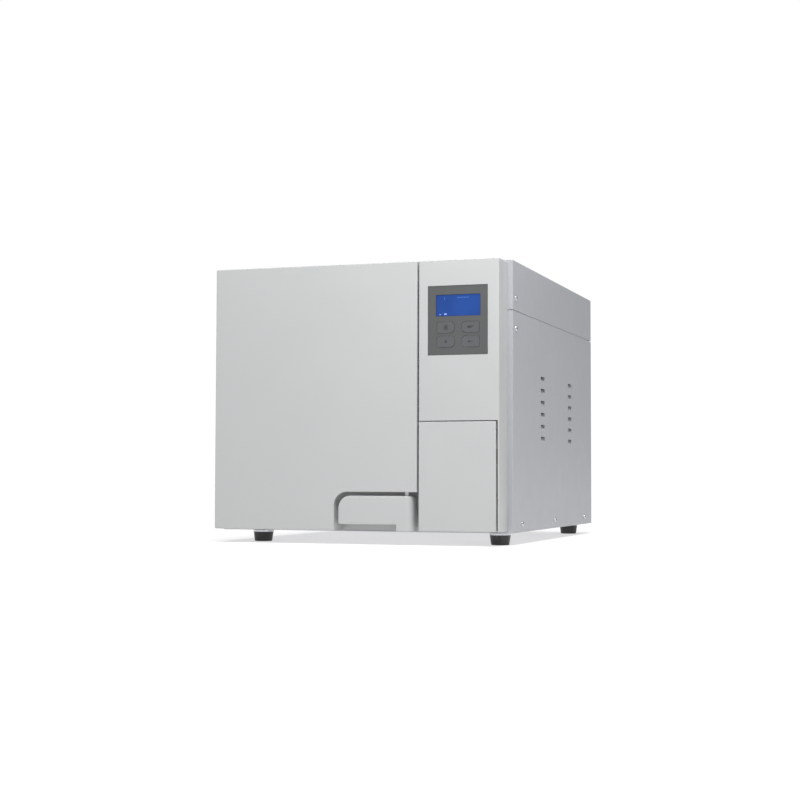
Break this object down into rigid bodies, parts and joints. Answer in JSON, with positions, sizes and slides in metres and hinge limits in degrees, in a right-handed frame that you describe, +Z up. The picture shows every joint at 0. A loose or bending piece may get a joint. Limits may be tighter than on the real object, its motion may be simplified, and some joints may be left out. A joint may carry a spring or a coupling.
{
  "type": "benchtop autoclave",
  "caption": "Front-loading benchtop steam autoclave with hinged door, recessed pull handle, keypad and display, service flap, sheet metal case and rubber feet.",
  "frame": {"origin": "on the bench, under the middle of the footprint", "axes": "+X to the operator's right, +Y to the back, +Z up"},
  "size_m": [0.4494, 0.58, 0.4098],
  "materials": {
    "painted_sheet": "fine satin powder coat, light grey white",
    "white_plastic": "light grey white moulded plastic, satin gloss",
    "inner_plastic": "light grey vacuum-formed plastic",
    "grey_plastic": "dark grey keypad plastic",
    "key_plastic": null,
    "lcd_blue": "blue backlit display behind a clear pane",
    "circuit_board": "green circuit board with black parts",
    "foot_rubber": "black moulded rubber",
    "fastener_steel": "zinc plated steel",
    "stainless": "brushed stainless steel",
    "steel_parts": "zinc plated sheet and bar",
    "silicone": "translucent white silicone seal",
    "heater_mat": "orange brown silicone heater mat",
    "insulation": "woven glass fibre jacket",
    "tank_plastic": "natural translucent polypropylene",
    "pump_aluminium": "cast and finned aluminium",
    "black_plastic": "black glass-filled plastic",
    "rocker_plastic": "green rocker",
    "filter_plastic": "clear pale blue filter housing",
    "blue_knob": "blue knob for fresh water",
    "red_knob": "red knob for used water",
    "brass_parts": "machined brass",
    "copper_pipe": "copper tube",
    "valve_knob": "knurled plated knob"
  },
  "bodies": {
    "case": {"air_filter": "filter_plastic", "band_heaters": "heater_mat", "base_pan": "painted_sheet", "case_screws": "fastener_steel", "chamber_cradle": "steel_parts", "condenser": "pump_aluminium", "control_fascia": "white_plastic", "drain_valves": "brass_parts", "fan_frame": "black_plastic", "feet": "foot_rubber", "foot_bolts": "fastener_steel", "front_frame": "painted_sheet", "hinge_bracket": "steel_parts", "hinge_pin": "fastener_steel", "insulation_jacket": "insulation", "keypad_bezel": "grey_plastic", "keypad_board": "circuit_board", "lcd_module": "lcd_blue", "left_side_panel": "painted_sheet", "lock_keeper": "steel_parts", "lock_solenoid": "steel_parts", "main_board": "circuit_board", "power_inlet": "black_plastic", "pressure_chamber": "stainless", "rear_fittings": "brass_parts", "rear_panel": "painted_sheet", "right_side_panel": "painted_sheet", "safety_valve": "brass_parts", "service_tray": "inner_plastic", "solenoid_valves": "brass_parts", "steam_generator": "stainless", "steam_pipes": "copper_pipe", "switch_housing": "black_plastic", "tank_fill_frame": "white_plastic", "top_cover": "painted_sheet", "tray_rack": "stainless", "trays": "stainless", "vacuum_pump": "pump_aluminium", "water_pump": "black_plastic", "water_tank": "tank_plastic"},
    "door": {"door_cover": "white_plastic", "door_liner": "inner_plastic", "door_beam": "steel_parts", "door_pressure_plate": "stainless", "door_gasket": "silicone", "hook_bracket": "steel_parts"},
    "handle": {"handle": "white_plastic", "lock_hook": "stainless"},
    "lock_bolt": {"lock_bolt": "stainless"},
    "key_select": {"key_select": "key_plastic"},
    "key_start": {"key_start": "key_plastic"},
    "key_down": {"key_down": "key_plastic"},
    "key_enter": {"key_enter": "key_plastic"},
    "service_door": {"service_door": "white_plastic"},
    "fresh_drain_knob": {"fresh_drain_knob": "blue_knob"},
    "waste_drain_knob": {"waste_drain_knob": "red_knob"},
    "power_rocker": {"power_rocker": "rocker_plastic"},
    "tank_lid": {"tank_lid": "white_plastic"},
    "fan_rotor": {"fan_rotor": "black_plastic"},
    "safety_valve_knob": {"safety_valve_knob": "valve_knob"}
  },
  "joints": [
    {"name": "door_hinge", "type": "hinge", "parent": "case", "child": "door", "pos_m": [-0.2022, -0.264, 0.205], "axis": [0, 0, -1], "range_deg": [0, 105]},
    {"name": "handle_pivot", "type": "hinge", "parent": "door", "child": "handle", "pos_m": [0.079, -0.28, 0.06], "axis": [0, 0, 1], "range_deg": [0, 55]},
    {"name": "lock_bolt_slide", "type": "slide", "parent": "case", "child": "lock_bolt", "axis": [0, 0, 1], "range_m": [0, 0.015]},
    {"name": "service_door_hinge", "type": "hinge", "parent": "case", "child": "service_door", "pos_m": [0.2055, -0.2845, 0.096], "axis": [0, 0, 1], "range_deg": [0, 90]},
    {"name": "fresh_drain_turn", "type": "hinge", "parent": "case", "child": "fresh_drain_knob", "pos_m": [0.126, -0.225, 0.062], "axis": [0, 1, 0], "range_deg": [0, 90]},
    {"name": "waste_drain_turn", "type": "hinge", "parent": "case", "child": "waste_drain_knob", "pos_m": [0.18, -0.225, 0.062], "axis": [0, 1, 0], "range_deg": [0, 90]},
    {"name": "power_rocker_tilt", "type": "hinge", "parent": "case", "child": "power_rocker", "pos_m": [0.182, -0.208, 0.128], "axis": [1, 0, 0], "range_deg": [0, 20]},
    {"name": "tank_lid_hinge", "type": "hinge", "parent": "case", "child": "tank_lid", "pos_m": [0.152, 0.121, 0.4076], "axis": [-1, 0, 0], "range_deg": [0, 100]},
    {"name": "fan_spin", "type": "hinge", "parent": "case", "child": "fan_rotor", "pos_m": [-0.12, 0.258, 0.262], "axis": [0, 1, 0], "continuous": true},
    {"name": "safety_valve_pull", "type": "slide", "parent": "case", "child": "safety_valve_knob", "axis": [0, 1, 0], "range_m": [0, 0.002], "stiffness_N_per_m": 800},
    {"name": "key_select_press", "type": "slide", "parent": "case", "child": "key_select", "axis": [0, 1, 0], "range_m": [0, 0.001], "stiffness_N_per_m": 600},
    {"name": "key_start_press", "type": "slide", "parent": "case", "child": "key_start", "axis": [0, 1, 0], "range_m": [0, 0.001], "stiffness_N_per_m": 600},
    {"name": "key_down_press", "type": "slide", "parent": "case", "child": "key_down", "axis": [0, 1, 0], "range_m": [0, 0.001], "stiffness_N_per_m": 600},
    {"name": "key_enter_press", "type": "slide", "parent": "case", "child": "key_enter", "axis": [0, 1, 0], "range_m": [0, 0.001], "stiffness_N_per_m": 600}
  ]
}
